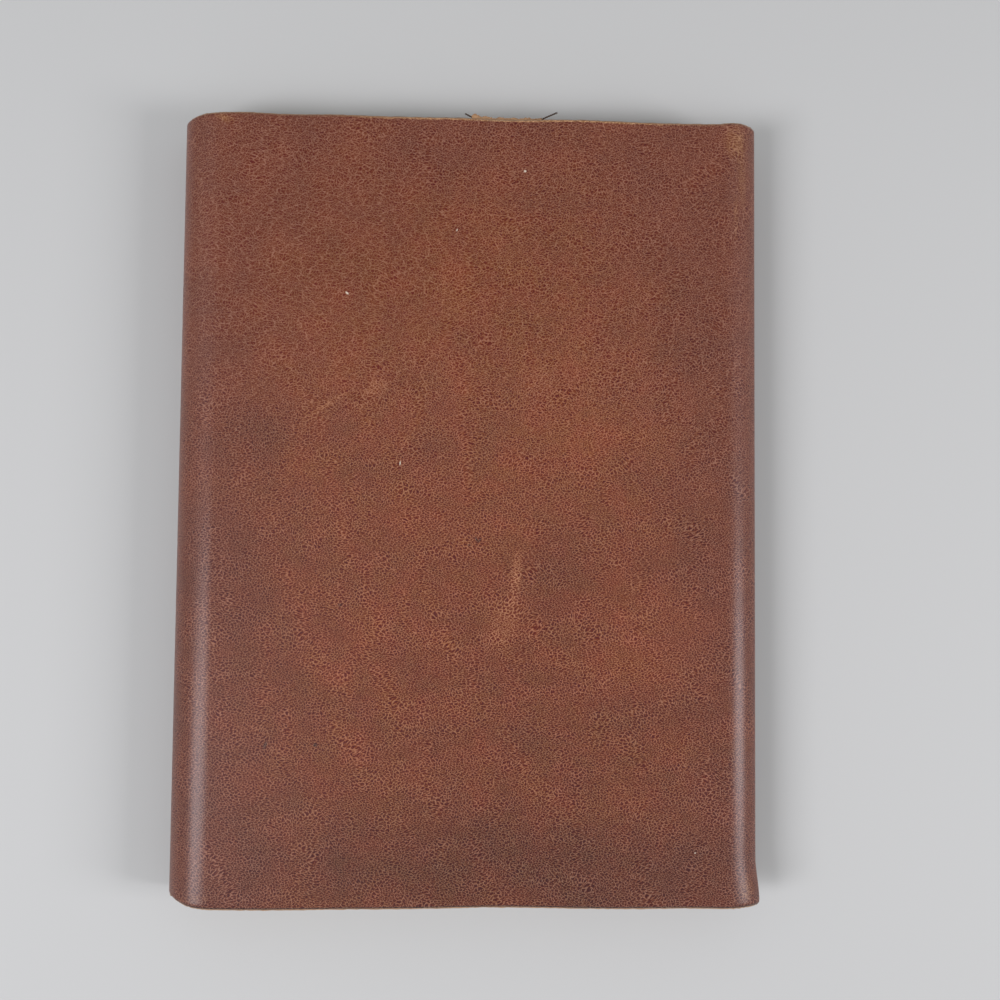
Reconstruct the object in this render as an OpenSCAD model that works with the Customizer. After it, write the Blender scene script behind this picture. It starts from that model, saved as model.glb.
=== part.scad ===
// Refillable A5 leather journal, lying closed on its back cover.
// One hide wraps a sewn notebook. Its fore edges are turned in, and the flaps make
// pockets that hold the notebook's two card covers.
// +X runs from the spine to the fore edge, +Y to the head, +Z up from the table.
// The origin is the middle of the back cover's outer face.

/* [Notebook] */
// Width of the pages, back of the spine to the fore edge
page_w = 148; // [140:1:155]
// Height of the pages
page_h = 210; // [200:1:220]
// Thickness of the closed stack of pages
page_stack_t = 11; // [8:0.5:16]
// Thickness of the notebook's card covers
card_t = 0.5; // [0.3:0.1:0.8]
// Reach of the card covers past the pages at the fore edge
card_reach = 0.5; // [0:0.5:2]
// Thickness of the cloth strip on the notebook's back
cloth_t = 0.3; // [0.2:0.1:0.5]
// Reach of the cloth strip onto each outer page
cloth_lap = 8; // [5:1:15]

/* [Leather cover] */
// Thickness of the hide
hide_t = 1.6; // [1.2:0.1:2.2]
// Reach of the cover past the pages at the fore edge
fore_margin = 13.15; // [12:0.05:16]
// Reach of the cover past the pages at the head and at the tail
end_margin = 5; // [3:0.5:9]
// Depth of the turned-in flap at each fore edge
flap_w = 61; // [45:1:75]
// Outer radius at which the front panel bends down to the fore edge
droop_r = 12; // [9:0.5:14]
// Angle through which the front panel bends down
droop_angle = 50; // [30:5:60]

/* [Head tab] */
// Width of the raw leather tab at the head
tab_w = 20; // [12:1:30]
// Thickness of the tab
tab_t = 1.4; // [0.8:0.1:1.6]
// Length of the tab that lies under the card cover
tab_hold = 8; // [5:1:12]
// How far the tab stands out past the head edge
tab_proud = 0.9; // [0.5:0.1:2]
// Thickness of the sewing thread
thread_d = 0.5; // [0.4:0.1:0.7]
// Reach of the left thread end past the tab
left_tail = 1.3; // [1:0.1:3]
// Reach of the right thread end past the tab
right_tail = 2.1; // [1:0.1:4]

/* [Clearances] */
// Gap on each face of a card cover in its pocket
card_clear = 0.1; // [0.05:0.05:0.3]
// Gap between the pages and each flap
page_clear = 0.2; // [0.1:0.1:0.5]
// Gap between the notebook's back and its card covers
spine_clear = 0.3; // [0.2:0.05:0.5]
// Glue line between the cloth strip and the pages
glue_t = 0.05; // [0.02:0.01:0.1]
// Gap between the head and tail ends of a pocket and the card
pocket_clear = 0.3; // [0.2:0.1:1]
// Gap at mid-height of the spine, where the cover bends to open
split_gap = 0.2; // [0.1:0.1:0.4]

/* [Hidden] */
$fn = 96;
leather_colour = "#7d4a36";
raw_leather_colour = "#b08a68";
card_colour = "#3b3a3c";
paper_colour = "#efe7d2";
cloth_colour = "#54463c";
thread_colour = "#3c2a22";

// Layers of one cover at its fore edge: panel, pocket and flap
pocket_t = card_t + 2 * card_clear;
layers_t = 2 * hide_t + pocket_t;
journal_t = 2 * (layers_t + page_clear) + page_stack_t;

// The spine is round: every layer of it turns about one centre line
spine_r = journal_t / 2;
spine_inner_r = spine_r - hide_t;
card_outer_r = spine_inner_r - card_clear;
card_inner_r = card_outer_r - card_t;
cloth_outer_r = card_inner_r - spine_clear;
cloth_inner_r = cloth_outer_r - cloth_t;
page_back_r = cloth_inner_r - glue_t;

// Places across the cover
cover_w = spine_r - page_back_r + page_w + fore_margin;
cover_h = page_h + 2 * end_margin;
spine_x = -cover_w / 2 + spine_r;
fore_x = cover_w / 2;
page_fore_x = spine_x - page_back_r + page_w;
card_fore_x = page_fore_x + card_reach;
flap_x = fore_x - flap_w;

// Fold of the leather at the fore edge
fold_r = layers_t / 2;
droop_mid_r = droop_r - fold_r;
droop_end_angle = 90 - droop_angle;
droop_x = fore_x - fold_r - droop_mid_r * sin(droop_angle);

// Centre lines of the bends, in the X-Z section
spine_centre = [spine_x, spine_r];
back_fold_centre = [fore_x - fold_r, fold_r];
droop_centre = [droop_x, journal_t - droop_r];
front_fold_centre = droop_centre + droop_mid_r * [cos(droop_end_angle), sin(droop_end_angle)];
arc_steps = 16;

// The pages thicken from the flaps' level to the full back of the spine
swell_near_x = spine_x + 30;
swell_far_x = spine_x + 50;

// The tab lies beside the front flap
tab_x = flap_x - tab_w - 1;
tab_under_z = journal_t - hide_t - pocket_t;
tab_end_y = cover_h / 2 + tab_proud;
tab_step_y = page_h / 2 + pocket_clear;
tab_drop = pocket_t;
thread_z = journal_t - hide_t - tab_t / 2;
thread_seat = thread_d / 2 + 0.05;

// Extrudes an X-Z section along Y, over a length centred on the cover
module along_cover(length) {
    rotate([90, 0, 0]) linear_extrude(length, center = true) children();
}

// Moves a section drawn as a back cover to the front cover
module as_front() {
    translate([0, journal_t]) mirror([0, 1]) children();
}

// Points along an arc about a centre, from one angle to another
function arc(centre, radius, from, to) = [
    for (i = [0 : arc_steps])
        let (angle = from + (to - from) * i / arc_steps)
        centre + radius * [cos(angle), sin(angle)]
];

// Lower quarter of a round spine layer, up to the gap at mid-height
module spine_quarter(outer_r, inner_r) {
    translate([spine_x, spine_r]) intersection() {
        difference() {
            circle(outer_r);
            circle(inner_r);
        }
        translate([-outer_r, -outer_r]) square([outer_r, outer_r - split_gap / 2]);
    }
}

// Half disc with its flat side to the left
module half_disc(radius) {
    intersection() {
        circle(radius);
        translate([0, -radius]) square([radius, 2 * radius]);
    }
}

// Card section: flat in the pocket, round at the spine
module card_section() {
    translate([spine_x, hide_t + card_clear]) square([card_fore_x - spine_x, card_t]);
    spine_quarter(card_outer_r, card_inner_r);
}

// Back cover's leather, before the pocket is cut
module back_leather_section() {
    polygon(concat(
        arc(spine_centre, spine_r, 180 + asin(split_gap / 2 / spine_r), 270),
        arc(back_fold_centre, fold_r, -90, 90),
        [[flap_x, layers_t], [flap_x, hide_t]],
        arc(spine_centre, spine_inner_r, 270, 180 + asin(split_gap / 2 / spine_inner_r))
    ));
}

// Front cover's leather, before the pocket is cut: it bends down at the fore edge
module front_leather_section() {
    flap_z = journal_t - layers_t;
    polygon(concat(
        arc(spine_centre, spine_r, 180 - asin(split_gap / 2 / spine_r), 90),
        arc(droop_centre, droop_r, 90, droop_end_angle),
        arc(front_fold_centre, fold_r, droop_end_angle, droop_end_angle - 180),
        arc(droop_centre, droop_r - layers_t, droop_end_angle, 90),
        [[flap_x, flap_z], [flap_x, journal_t - hide_t]],
        arc(spine_centre, spine_inner_r, 90, 180 - asin(split_gap / 2 / spine_inner_r))
    ));
}

// Empty pocket between the back panel and its flap
module back_pocket_section() {
    polygon(concat(
        [[flap_x - 1, hide_t]],
        arc(back_fold_centre, pocket_t / 2, -90, 90),
        [[flap_x - 1, hide_t + pocket_t]]
    ));
}

// Empty pocket between the front panel and its flap
module front_pocket_section() {
    upper_z = journal_t - hide_t;
    polygon(concat(
        [[flap_x - 1, upper_z]],
        arc(droop_centre, droop_r - hide_t, 90, droop_end_angle),
        arc(front_fold_centre, pocket_t / 2, droop_end_angle, droop_end_angle - 180),
        arc(droop_centre, droop_r - hide_t - pocket_t, droop_end_angle, 90),
        [[flap_x - 1, upper_z - pocket_t]]
    ));
}

// Back half of the hide: panel, lower half of the spine, folded fore edge and flap
module back_cover() {
    color(leather_colour) difference() {
        along_cover(cover_h) back_leather_section();
        along_cover(page_h + 2 * pocket_clear) back_pocket_section();
    }
}

// Notebook's back card cover, in the back pocket
module back_card() {
    color(card_colour) along_cover(page_h) card_section();
}

// Sewn pages, with a rounded back
module text_block() {
    flat_half_t = page_stack_t / 2;
    color(paper_colour) along_cover(page_h) translate([0, spine_r]) {
        polygon([
            [page_fore_x, -flat_half_t], [page_fore_x, flat_half_t],
            [swell_far_x, flat_half_t], [swell_near_x, page_back_r],
            [spine_x, page_back_r], [spine_x, -page_back_r],
            [swell_near_x, -page_back_r], [swell_far_x, -flat_half_t]
        ]);
        translate([spine_x, 0]) mirror([1, 0]) half_disc(page_back_r);
    }
}

// Cloth strip glued round the back of the pages
module spine_cloth() {
    color(cloth_colour) along_cover(page_h) translate([spine_x, spine_r]) {
        difference() {
            mirror([1, 0]) half_disc(cloth_outer_r);
            circle(cloth_inner_r);
        }
        translate([0, cloth_inner_r]) square([cloth_lap, cloth_t]);
        translate([0, -cloth_outer_r]) square([cloth_lap, cloth_t]);
    }
}

// Front half of the hide: panel, upper half of the spine, drooping fore edge and flap
module front_cover() {
    color(leather_colour) difference() {
        along_cover(cover_h) front_leather_section();
        along_cover(page_h + 2 * pocket_clear) front_pocket_section();
    }
}

// Notebook's front card cover, in the front pocket
module front_card() {
    color(card_colour) along_cover(page_h) as_front() card_section();
}

// Raw-cut leather tab: glued to the front panel at the head, with its tail under the card
module head_tab() {
    low_z = tab_under_z - tab_t;
    color(raw_leather_colour) translate([tab_x, 0, 0]) rotate([90, 0, 90]) linear_extrude(tab_w)
        polygon([
            [tab_step_y - tab_hold, low_z],
            [tab_step_y + tab_drop, low_z],
            [tab_step_y + 2 * tab_drop, low_z + tab_drop],
            [tab_end_y, low_z + tab_drop],
            [tab_end_y, tab_under_z + tab_drop],
            [tab_step_y, tab_under_z + tab_drop],
            [tab_step_y, tab_under_z],
            [tab_step_y - tab_hold, tab_under_z]
        ]);
}

// Cut thread end: it leaves the tab's edge and lies to one side
module thread_end(side_reach, tail_reach, rise) {
    tail_length = norm([side_reach, tail_reach, rise]);
    heading = atan2(tail_reach, side_reach);
    pitch = acos(rise / tail_length);
    translate([0, thread_seat, 0]) rotate([0, pitch, heading]) cylinder(h = tail_length, d = thread_d);
}

// Thread end at the tab's left corner
module tab_thread_left() {
    color(thread_colour) translate([tab_x + 1, tab_end_y, thread_z])
        thread_end(-2.8, left_tail - thread_seat, 0.4);
}

// Thread end at the tab's right corner
module tab_thread_right() {
    color(thread_colour) translate([tab_x + tab_w - 0.4, tab_end_y, thread_z])
        thread_end(4.8, right_tail - thread_seat, 0.6);
}

back_cover();
back_card();
text_block();
spine_cloth();
front_cover();
front_card();
head_tab();
tab_thread_left();
tab_thread_right();
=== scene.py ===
# %% [markdown]
# # A leather journal, closed and lying on its back cover
# The journal is one hide folded round a sewn notebook. This lesson dresses its construction
# model: the soft leather, the card covers, the pages, the cloth on the notebook's back and the
# raw leather tab with its two thread ends. Everything is in metres, in the model's own frame:
# +X runs from the spine to the fore edge, +Y to the head and +Z up from the table.

# %% Load the construction model
import math

import bpy
import numpy as np
from mathutils import Matrix, Vector


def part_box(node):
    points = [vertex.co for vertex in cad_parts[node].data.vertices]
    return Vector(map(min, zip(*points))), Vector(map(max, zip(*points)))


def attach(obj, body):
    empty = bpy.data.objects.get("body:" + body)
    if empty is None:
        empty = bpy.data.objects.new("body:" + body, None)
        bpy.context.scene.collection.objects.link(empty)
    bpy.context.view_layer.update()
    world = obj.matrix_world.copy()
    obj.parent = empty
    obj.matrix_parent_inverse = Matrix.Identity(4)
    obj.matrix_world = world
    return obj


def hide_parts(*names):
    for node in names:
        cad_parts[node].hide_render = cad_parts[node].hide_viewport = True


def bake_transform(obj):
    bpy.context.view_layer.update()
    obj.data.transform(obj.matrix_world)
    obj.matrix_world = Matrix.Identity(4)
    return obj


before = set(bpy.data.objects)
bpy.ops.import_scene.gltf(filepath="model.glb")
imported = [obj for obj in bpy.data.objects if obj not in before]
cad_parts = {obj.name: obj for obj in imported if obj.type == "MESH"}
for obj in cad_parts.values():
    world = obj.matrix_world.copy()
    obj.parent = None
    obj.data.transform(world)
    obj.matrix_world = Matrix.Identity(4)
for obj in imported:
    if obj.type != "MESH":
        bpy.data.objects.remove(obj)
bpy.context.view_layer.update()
MM = 0.001
random = np.random.default_rng(7)

# %% [markdown]
# ## Sizes
# The sizes come from the construction model's own boxes, so that each dressed piece sits where
# its plain one does. Only what a box can't tell, such as the hide's thickness, is a number here.

# %% Read the sizes from the model, in millimetres
def node_box(node):
    """Lowest and highest corner of a construction piece, in millimetres."""
    low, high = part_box(node)
    return np.array(low) / MM, np.array(high) / MM


front_high = node_box("front_cover")[1]
page_low, page_high = node_box("text_block")
card_high = node_box("back_card")[1]
cloth_low, cloth_high = node_box("spine_cloth")
tab_low, tab_high = node_box("head_tab")

JOURNAL_T = front_high[2]
COVER_X = front_high[0]
COVER_Y = front_high[1]
PAGE_Y = page_high[1]
HIDE_T = 1.6
POCKET_T = 0.7
LAYERS_T = 2 * HIDE_T + POCKET_T
FLAP_W = 61.0
DROOP_R = 12.0
DROOP_ANGLE = math.radians(50)
FLAP_X = COVER_X - FLAP_W
MID_Z = JOURNAL_T / 2

# %% [markdown]
# ## The camera
# The photograph looks down on the journal from about a third of a metre, a little from the tail
# end and a little rolled. The numbers were solved from the outline's four edges.

# %% Place the camera
CAMERA_AT = Vector((-1.9, -15.5, 352.8)) * MM
TILT_X, TILT_Y, ROLL = math.radians(3.01), math.radians(-1.88), math.radians(0.54)
FOCAL_PIXELS = 1198.0
IMAGE_PIXELS = 1000
SENSOR = 36.0


def in_scene(name, data):
    """A new object in the scene for a mesh, a lamp or a camera."""
    made = bpy.data.objects.new(name, data)
    bpy.context.scene.collection.objects.link(made)
    return made


camera_data = bpy.data.cameras.new("camera")
camera_data.sensor_width = SENSOR
camera_data.lens = FOCAL_PIXELS / IMAGE_PIXELS * SENSOR
camera_data.clip_start = 0.01
camera = in_scene("camera", camera_data)
turn = Matrix.Rotation(TILT_Y, 4, "Y") @ Matrix.Rotation(TILT_X, 4, "X") @ Matrix.Rotation(ROLL, 4, "Z")
camera.matrix_world = Matrix.Translation(CAMERA_AT) @ turn
bpy.context.scene.camera = camera
print("lens", round(camera_data.lens, 2), "mm")

# %% [markdown]
# ## Colours and nodes
# A colour is written as people write it, in sRGB hex, and turned to the linear values that
# light is worked out in. One small function adds any shader node.

# %% Two helpers for materials
def rgb(code):
    """Linear colour, with alpha, of an sRGB hex code."""
    parts = [int(code[i:i + 2], 16) / 255 for i in (1, 3, 5)]
    return tuple(p / 12.92 if p < 0.04045 else ((p + 0.055) / 1.055) ** 2.4 for p in parts) + (1.0,)


def put(tree, kind, inputs=None, **settings):
    """Adds a shader node. inputs maps a socket to a value, to another node's output or to another
    node, whose first output is then used."""
    made = tree.nodes.new(kind)
    for key, value in settings.items():
        setattr(made, key, value)
    for key, value in (inputs or {}).items():
        if isinstance(value, bpy.types.Node):
            value = value.outputs[0]
        if isinstance(value, bpy.types.NodeSocket):
            tree.links.new(value, made.inputs[key])
        else:
            made.inputs[key].default_value = value
    return made


def new_material(name):
    """An empty material: its node tree and its principled shader."""
    material = bpy.data.materials.new(name)
    material.use_nodes = True
    tree = material.node_tree
    return material, tree, tree.nodes["Principled BSDF"]


print("orange brown is", [round(c, 3) for c in rgb("#8a5138")])

# %% [markdown]
# ## Floor and light
# The journal lies on a pale, plain surface. Two soft lamps stand towards the tail end, left and
# right: they draw the pale stripe along the spine and the thin one along the fore edge, and
# they rake across the grain so that its pebbles show. The rest is a pale sky that is dimmer
# straight overhead, where whoever takes the picture stands, and along the horizon: waxed
# leather mirrors what is above it, and under a bright ceiling its colour would look grey.

# %% Lay the floor and set the lamps
FLOOR_SIDE = 6.0
floor_mesh = bpy.data.meshes.new("floor")
half = FLOOR_SIDE / 2
floor_corners = [(-half, -half, 0), (half, -half, 0), (half, half, 0), (-half, half, 0)]
floor_mesh.from_pydata(floor_corners, [], [(0, 1, 2, 3)])
floor = in_scene("floor", floor_mesh)
floor_material, tree, shader = new_material("pale_studio_floor")
shader.inputs["Base Color"].default_value = rgb("#c7c7c4")
shader.inputs["Roughness"].default_value = 0.95
shader.inputs["Specular IOR Level"].default_value = 0.1
floor_mesh.materials.append(floor_material)

world = bpy.data.worlds.new("sky")
bpy.context.scene.world = world
world.use_nodes = True
SKY_BY_HEIGHT = [(0.0, 0.3), (0.3, 0.44), (0.6, 0.62), (0.84, 0.48), (0.97, 0.06)]
tree = world.node_tree
ray = put(tree, "ShaderNodeTexCoord").outputs["Generated"]
height_of_ray = put(tree, "ShaderNodeSeparateXYZ", {0: ray}).outputs[2]
sky = put(tree, "ShaderNodeValToRGB", {0: height_of_ray})
sky.color_ramp.interpolation = "EASE"
while len(sky.color_ramp.elements) < len(SKY_BY_HEIGHT):
    sky.color_ramp.elements.new(0.5)
for stop, (height, bright) in zip(sky.color_ramp.elements, SKY_BY_HEIGHT):
    stop.position = height
    stop.color = (bright, bright, bright, 1)
tree.nodes["Background"].inputs["Color"].default_value = rgb("#f4f6fa")
tree.links.new(sky.outputs[0], tree.nodes["Background"].inputs["Strength"])


def lamp(name, direction, distance, size, watts, colour):
    """A square soft lamp in a direction from the journal's middle, facing it."""
    data = bpy.data.lights.new(name, "AREA")
    data.shape = "RECTANGLE"
    data.size, data.size_y = size
    data.energy = watts
    data.color = rgb(colour)[:3]
    made = in_scene(name, data)
    away = Vector(direction).normalized()
    facing = away.to_track_quat("Z", "Y").to_matrix().to_4x4()
    made.matrix_world = Matrix.Translation(away * distance) @ facing


lamp("lamp_left", (-0.60, -0.24, 0.77), 0.9, (0.26, 0.44), 4.6, "#f8f8ff")
lamp("lamp_right", (0.80, -0.19, 0.57), 0.9, (0.24, 0.36), 3.7, "#faf9ff")
bpy.context.scene.view_settings.view_transform = "Standard"
print("two lamps, and a sky of strength", SKY_BY_HEIGHT[-1][1], "overhead")

# %% [markdown]
# ## The path of the hide
# Seen from the tail, each cover is one line: up or down the round spine, straight across the
# panel, down over the fore edge, back round the fold and along the flap inside. The line is
# drawn for one cover with its outer face at depth 0, and depth grows towards the pages. The
# front panel droops over the fore edge before it folds; the back one lies flat.

# %% Draw a cover's line, with its outward normals
SPINE_SOFTNESS = 2.4


def spine_points(steps):
    """A soft quarter bend from the spine's middle to the panel."""
    wide = MID_Z + SPINE_SOFTNESS
    points = []
    for q in np.linspace(0, math.pi / 2, steps, endpoint=False):
        normal = np.array([-math.cos(q) / wide, -math.sin(q) / MID_Z])
        place = (-COVER_X + wide - wide * math.cos(q), MID_Z - MID_Z * math.sin(q))
        points.append((*place, *(normal / np.linalg.norm(normal))))
    return points


def bend_points(centre, radius, start, end, steps, inward=False):
    """A round bend. Angles turn from straight out of the panel towards the fore edge."""
    points = []
    for angle in np.linspace(start, end, steps, endpoint=False):
        out = np.array([math.sin(angle), -math.cos(angle)])
        place = np.array(centre) + radius * out
        points.append((*place, *(-out if inward else out)))
    return points


def straight_points(x0, x1, depth, facing, steps):
    """A straight run across the cover. facing is the normal's depth part."""
    return [(x, depth, 0.0, facing) for x in np.linspace(x0, x1, steps, endpoint=False)]


def hide_path(droop):
    """Points (x, depth, normal x, normal depth) along the grain side, spine to flap."""
    fold_r = LAYERS_T / 2
    mid_r = DROOP_R - fold_r
    droop_x = COVER_X - fold_r - mid_r * math.sin(droop)
    centre = (droop_x, DROOP_R)
    fold = (droop_x + mid_r * math.sin(droop), DROOP_R - mid_r * math.cos(droop))
    points = spine_points(36)
    points += straight_points(points[-1][0] + 0.4, droop_x, 0.0, -1.0, 118)
    if droop:
        points += bend_points(centre, DROOP_R, 0, droop, 22)
    points += bend_points(fold, fold_r, droop, droop + math.pi, 14)
    if droop:
        points += bend_points(centre, DROOP_R - LAYERS_T, droop, 0, 12, inward=True)
    points += straight_points(droop_x, FLAP_X, LAYERS_T, 1.0, 42)
    points.append((FLAP_X, LAYERS_T, 0.0, 1.0))
    return np.array(points)


def lengths_along(path):
    """Distance along the line at each of its points."""
    steps = np.linalg.norm(np.diff(path[:, :2], axis=0), axis=1)
    return np.concatenate([[0], np.cumsum(steps)])


front_path = hide_path(DROOP_ANGLE)
back_path = hide_path(0.0)
front_u = lengths_along(front_path)
spine_to_middle = float(np.interp(0.0, front_path[:160, 0], front_u[:160]))
print("front line", len(front_path), "points,", round(front_u[-1], 1), "mm; middle of the panel at",
      round(spine_to_middle, 2), "mm")

# %% [markdown]
# ## Building a soft layer
# Each layer of a cover is a closed sheet: the line is swept from tail to head, and the other
# face lies a thickness deeper along the normals. Every vertex keeps its distance along the
# line and its height as a map in millimetres, so grain, stains and scratches stay on the hide
# when the cover bends. The map runs on across the spine, from the front cover to the back.

# %% Sweep a line into a sheet
GRAIN, FLESH, CUT = 0, 1, 2
END_ROWS = (0.0, 0.25, 0.6, 1.2, 2.2, 3.6)
ROW_STEP = 2.0


def rows_between(low, high):
    """Heights of the rows: close together near the cut ends."""
    count = int(round((high - low - 2 * END_ROWS[-1]) / ROW_STEP))
    inner = np.linspace(low + END_ROWS[-1], high - END_ROWS[-1], count + 1)
    return np.concatenate([low + np.array(END_ROWS[:-1]), inner, (high - np.array(END_ROWS[:-1]))[::-1]])


def sheet_faces(columns, rows):
    """Faces of a closed sheet, and the finish of each. Its vertices are the outer grid, the inner
    grid, and then two rows along each cut end."""
    size = columns * rows
    grid = np.arange(size).reshape(columns, rows)
    extra = {(0, 0): 2 * size, (0, 1): 2 * size + columns, (-1, 0): 2 * size + 2 * columns,
             (-1, 1): 2 * size + 3 * columns}
    faces, groups = [], []

    def add(a, b, c, d, group):
        faces.append((int(a), int(b), int(c), int(d)))
        groups.append(group)

    for i in range(columns - 1):
        for j in range(rows - 1):
            add(grid[i, j], grid[i, j + 1], grid[i + 1, j + 1], grid[i + 1, j], GRAIN)
            add(grid[i, j] + size, grid[i + 1, j] + size, grid[i + 1, j + 1] + size, grid[i, j + 1] + size,
                FLESH)
        for end in (0, -1):
            ring = [grid[:, end], extra[end, 0] + np.arange(columns), extra[end, 1] + np.arange(columns),
                    grid[:, end] + size]
            for near, far in zip(ring, ring[1:]):
                corners = (near[i], near[i + 1], far[i + 1], far[i])
                add(*(corners if end == 0 else corners[::-1]), CUT)
    for j in range(rows - 1):
        add(grid[0, j], grid[0, j] + size, grid[0, j + 1] + size, grid[0, j + 1], CUT)
        add(grid[-1, j], grid[-1, j + 1], grid[-1, j + 1] + size, grid[-1, j] + size, CUT)
    for i, flip in ((0, False), (columns - 1, True)):
        for end in (0, -1):
            loop = (grid[i, end], extra[end, 0] + i, extra[end, 1] + i, grid[i, end] + size)
            add(*(loop if flip == (end == 0) else loop[::-1]), CUT)
    return faces, groups


def sheet_mesh(name, path, u, heights, offset, thickness, to_z, wander=None, settle=None, flare=None,
               cut_bulge=0.0, round_off=0.0):
    """A closed sheet along a line. offset is the depth of its outer face below the line.
    wander(x, y) moves a row along Y, settle(x, y) gives its extra depth, flare(x, y) moves it
    along X, to_z turns a depth into a height, and round_off wears the outer face down at the
    cut ends."""
    columns, rows = len(path), len(heights)
    x = path[:, 0][:, None]
    y = np.broadcast_to(heights[None, :], (columns, rows)).copy()
    normal = path[:, 2:4]
    from_end = np.minimum(heights - heights[0], heights[-1] - heights)
    worn = round_off * np.clip(1 - from_end / END_ROWS[2], 0, 1) ** 2
    faces_at = []
    for depth_in in (offset, offset + thickness):
        wear = worn[None, :] if depth_in == offset else 0.0 * worn[None, :]
        px = x - normal[:, 0][:, None] * (depth_in + wear)
        pd = path[:, 1][:, None] - normal[:, 1][:, None] * (depth_in + wear)
        py = y + (wander(px, y) if wander else 0.0)
        pd = pd + (settle(px, py) if settle else 0.0)
        px = px + (flare(px, py) if flare else 0.0)
        faces_at.append(np.stack([px + 0 * y, py, to_z(pd)], -1))
    outer, inner = faces_at
    cut_rows = []
    for end in (0, -1):
        sign = -1.0 if end == 0 else 1.0
        for number, share in enumerate((0.25, 0.6)):
            row = outer[:, end] * (1 - share) + inner[:, end] * share
            row[:, 1] += sign * (cut_bulge * (1.0 - number * 0.35) + 0.05 * random.standard_normal(columns))
            cut_rows.append(row)
    verts = np.concatenate([outer.reshape(-1, 3), inner.reshape(-1, 3)] + cut_rows)
    map_u = np.concatenate([np.repeat(u, rows), np.repeat(u, rows)] + [u] * 4)
    map_v = np.concatenate([y.ravel(), y.ravel()]
                           + [np.full(columns, heights[e] + s) for e, s in
                              ((0, -0.4), (0, -0.9), (-1, 0.4), (-1, 0.9))])
    faces, groups = sheet_faces(columns, rows)
    if to_z(0.0) < to_z(1.0):
        faces = [face[::-1] for face in faces]
    mesh = bpy.data.meshes.new(name)
    mesh.from_pydata((verts * MM).tolist(), [], faces)
    mesh.polygons.foreach_set("material_index", np.array(groups, np.int32))
    layer = mesh.uv_layers.new(name="hide_mm")
    corner = np.empty(len(mesh.loops), np.int32)
    mesh.loops.foreach_get("vertex_index", corner)
    layer.uv.foreach_set("vector", np.stack([map_u[corner], map_v[corner]], 1).astype(np.float32).ravel())
    mesh.shade_smooth()
    mark_hard_edges(mesh)
    return in_scene(name, mesh)


def mark_hard_edges(mesh):
    """Edges between two finishes stay crisp under smooth shading."""
    group_of = {}
    hard = set()
    for face in mesh.polygons:
        for key in face.edge_keys:
            if group_of.setdefault(key, face.material_index) != face.material_index:
                hard.add(key)
    for edge in mesh.edges:
        if edge.key in hard:
            edge.use_edge_sharp = True


heights = rows_between(-COVER_Y, COVER_Y)
print("a cover is swept through", len(heights), "rows")

# %% [markdown]
# ## Hand-cut ends and a soft panel
# The hide was cut by hand, so its head and tail edges wander by a few tenths of a millimetre,
# and the panel isn't truly flat: it follows what lies under it. Both are smooth formulas, so
# the front leather, its flap and the card inside move together and never touch.

# %% Shape the cut edges and the panel
def bump(x, centre, width):
    """A smooth bump of height 1."""
    return np.exp(-((x - centre) / width) ** 2)


def front_wander(x, y):
    """How far a row of the front hide strays along Y, in millimetres."""
    near_tail = np.clip(1 - (y + COVER_Y) / 25, 0, 1) ** 2
    near_head = np.clip(1 - (COVER_Y - y) / 25, 0, 1) ** 2
    tail = -0.5 * bump(x, -50, 22) + 0.25 * bump(x, 5, 20) + 0.12 * np.sin(x / 9.0) - 0.2 * bump(x, 72, 6)
    tail = tail + 2.5 * bump(x, -84, 7)
    head = 0.1 * np.sin(x / 13.0 + 1) + 0.45 * bump(x, -64, 9) - 0.5 * bump(x, -81, 3.5)
    head = head + 0.3 * bump(x, -25, 45) + 0.3 * bump(x, -38, 10) + 0.4 * bump(x, 32, 14)
    head = head - 0.35 * bump(x, 10, 9) + 0.65 * bump(x, 77.5, 5)
    return near_tail * tail + near_head * head


def front_flare(x, y):
    """The fore edge spreads a little at its tail corner."""
    down = np.clip((-97 - y) / 12, 0, 1)
    return 1.1 * down * down * (3 - 2 * down) * np.clip((x - 68) / 12, 0, 1)


def back_wander(x, y):
    """How far a row of the back hide strays along Y, in millimetres."""
    near_tail = np.clip(1 - (y + COVER_Y) / 25, 0, 1) ** 2
    near_head = np.clip(1 - (COVER_Y - y) / 25, 0, 1) ** 2
    tail = 0.15 * np.sin(x / 11.0) + 0.9 * bump(x, -81, 4.5)
    head = 0.12 * np.sin(x / 15.0 + 2) - 0.5 * bump(x, -81, 3.5)
    return near_tail * tail + near_head * head


def front_settle(x, y):
    """Extra depth of the front cover's layers: a few tenths of a millimetre."""
    across = np.clip((x + 70) / 25, 0, 1) * np.clip((74 - x) / 14, 0, 1)
    across = across * across * (3 - 2 * across)
    waves = np.sin(x / 21.0 + y / 37.0) * np.cos(y / 29.0 - x / 60.0 + 0.6)
    return across * 0.11 * (waves + 0.4 * np.sin(y / 13.0 + x / 17.0))


def front_z(depth):
    """Height of a depth below the front cover's outer face."""
    return JOURNAL_T - depth


def back_z(depth):
    """Height of a depth below the back cover's outer face."""
    return depth


leather_front = sheet_mesh("leather_front", front_path, front_u, heights, 0.0, HIDE_T, front_z,
                           front_wander, front_settle, front_flare, cut_bulge=0.35, round_off=0.3)
back_u = -lengths_along(back_path)
leather_back = sheet_mesh("leather_back", back_path, back_u, heights, 0.0, HIDE_T, back_z,
                          back_wander, cut_bulge=0.2, round_off=0.2)
print("leather:", len(leather_front.data.polygons), "and", len(leather_back.data.polygons), "faces")

# %% [markdown]
# ## The card covers
# The notebook has a thin dark card at its front and back, and each slides into the pocket of a
# cover. A flat sheet could be bent there with a modifier, but the hide's line is drawn already,
# so the card is swept along the same line, just under the hide. It is a tenth of a millimetre
# thinner than the plain piece, which keeps it clear of the flap.

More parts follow.
